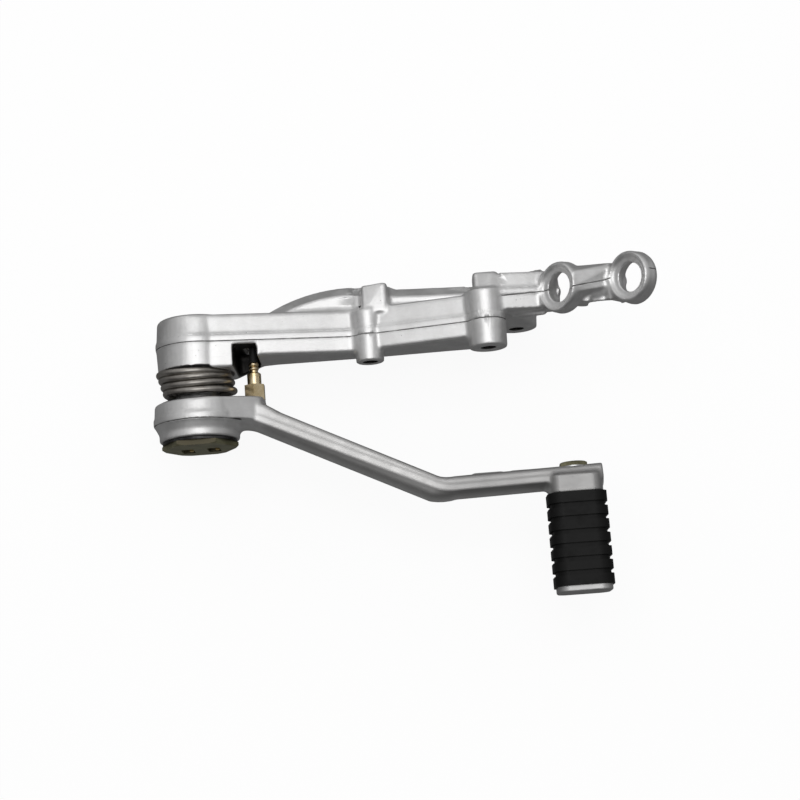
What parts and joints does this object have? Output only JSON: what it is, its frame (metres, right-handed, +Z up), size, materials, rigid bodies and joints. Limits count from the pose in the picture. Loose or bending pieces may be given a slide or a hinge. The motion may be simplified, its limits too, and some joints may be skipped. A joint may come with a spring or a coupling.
{
  "type": "motorbike brake pedal",
  "caption": "Cranked cast brake pedal with a ribbed toe peg, sprung on a cast hanger bracket with tapped bosses and tilted eyes.",
  "frame": {"origin": "centre of the mouth of the bracket's front tapped boss", "axes": "+X forward along the bike, +Y inboard (the way the tapped holes go in), +Z up"},
  "size_m": [0.2287, 0.1486, 0.0806],
  "materials": {
    "cast_bracket": "as-cast silver, worn edges",
    "cast_pedal": "silver lacquered casting, fine speckle",
    "spring_steel": "dull grey wire",
    "head_steel": "dark blued steel",
    "dark_washer": "oiled dark steel",
    "plain_steel": "ground steel",
    "brass": "bright brass",
    "yellow_zinc": "yellow zinc plating",
    "olive_zinc": "olive zinc plating",
    "bronze": "sintered bronze",
    "black_rubber": "matt black rubber",
    "soft_black": "black buffer rubber",
    "peg_metal": "cast aluminium"
  },
  "bodies": {
    "bracket": {"hanger_bracket": "cast_bracket", "pivot_bolt": "head_steel", "head_lock_pins": "brass", "pivot_sleeve": "plain_steel", "retaining_washer": "dark_washer", "bolt_nut": "olive_zinc", "bolt_lock_washer": "plain_steel", "return_spring": "spring_steel"},
    "pedal": {"brake_pedal": "cast_pedal", "inboard_seal": "soft_black", "inboard_bush": "bronze", "outboard_bush": "bronze", "outboard_seal": "soft_black", "spring_seat_washer": "dark_washer", "limit_stud": "yellow_zinc", "stud_buffer": "soft_black", "toe_peg": "peg_metal", "peg_rubber": "black_rubber", "peg_bolt": "olive_zinc", "peg_spring_washer": "plain_steel"}
  },
  "joints": [
    {"name": "pedal_pivot", "type": "hinge", "parent": "bracket", "child": "pedal", "pos_m": [-0.1335, -0.022, -0.014], "axis": [0, 1, 0], "range_deg": [0, 18], "stiffness_Nm_per_rad": 0.78, "springref_deg": -85.94, "deforming": ["return_spring"]}
  ]
}
